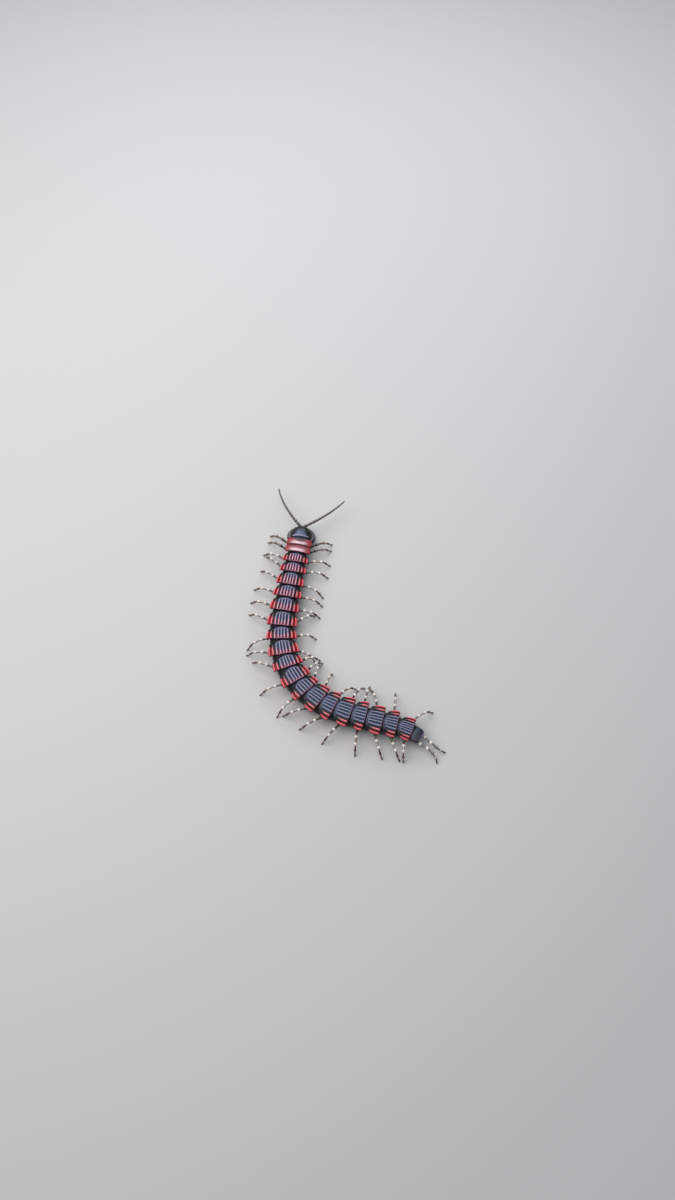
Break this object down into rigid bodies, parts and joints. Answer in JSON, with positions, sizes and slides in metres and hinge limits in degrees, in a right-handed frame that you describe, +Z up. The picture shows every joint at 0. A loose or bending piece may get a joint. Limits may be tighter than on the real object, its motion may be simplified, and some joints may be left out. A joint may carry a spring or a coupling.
{
  "type": "keeled giant centipede",
  "caption": "Life-size still model of a walking giant centipede with keeled back plates, its body bent to one side, standing on its legs.",
  "frame": {"origin": "on the floor under the centre of the box round the whole animal", "axes": "+Z up, +Y the way the head points, +X the animal's right, to which the tail bends"},
  "size_m": [0.0678, 0.1038, 0.0066],
  "materials": {
    "back_plates": "chitin, slate black with red side keels, satin gloss",
    "head": "chitin, black, glossy",
    "legs": "chitin, greyish white with white joints and brown feet, satin",
    "antennae": "chitin, purple black, satin",
    "poison_claws": "chitin, brown black, glossy",
    "eyes": "black, clear and glossy"
  },
  "bodies": {
    "root": {"head": "head", "eye_left": "eyes", "eye_right": "eyes", "antenna_left": "antennae", "antenna_right": "antennae", "forcipule_base": "poison_claws", "forcipule_left": "poison_claws", "forcipule_right": "poison_claws", "trunk_01_02": "back_plates", "trunk_03_04": "back_plates", "trunk_05_06": "back_plates", "trunk_07_08": "back_plates", "trunk_09_10": "back_plates", "trunk_11_12": "back_plates", "trunk_13_14": "back_plates", "trunk_15_16": "back_plates", "trunk_17_18": "back_plates", "trunk_19_21": "back_plates", "leg_left_01": "legs", "leg_right_01": "legs", "leg_left_02": "legs", "leg_right_02": "legs", "leg_left_03": "legs", "leg_right_03": "legs", "leg_left_04": "legs", "leg_right_04": "legs", "leg_left_05": "legs", "leg_right_05": "legs", "leg_left_06": "legs", "leg_right_06": "legs", "leg_left_07": "legs", "leg_right_07": "legs", "leg_left_08": "legs", "leg_right_08": "legs", "leg_left_09": "legs", "leg_right_09": "legs", "leg_left_10": "legs", "leg_right_10": "legs", "leg_left_11": "legs", "leg_right_11": "legs", "leg_left_12": "legs", "leg_right_12": "legs", "leg_left_13": "legs", "leg_right_13": "legs", "leg_left_14": "legs", "leg_right_14": "legs", "leg_left_15": "legs", "leg_right_15": "legs", "leg_left_16": "legs", "leg_right_16": "legs", "leg_left_17": "legs", "leg_right_17": "legs", "leg_left_18": "legs", "leg_right_18": "legs", "leg_left_19": "legs", "leg_right_19": "legs", "leg_left_20": "legs", "leg_right_20": "legs", "leg_left_21": "legs", "leg_right_21": "legs"}
  },
  "joints": []
}
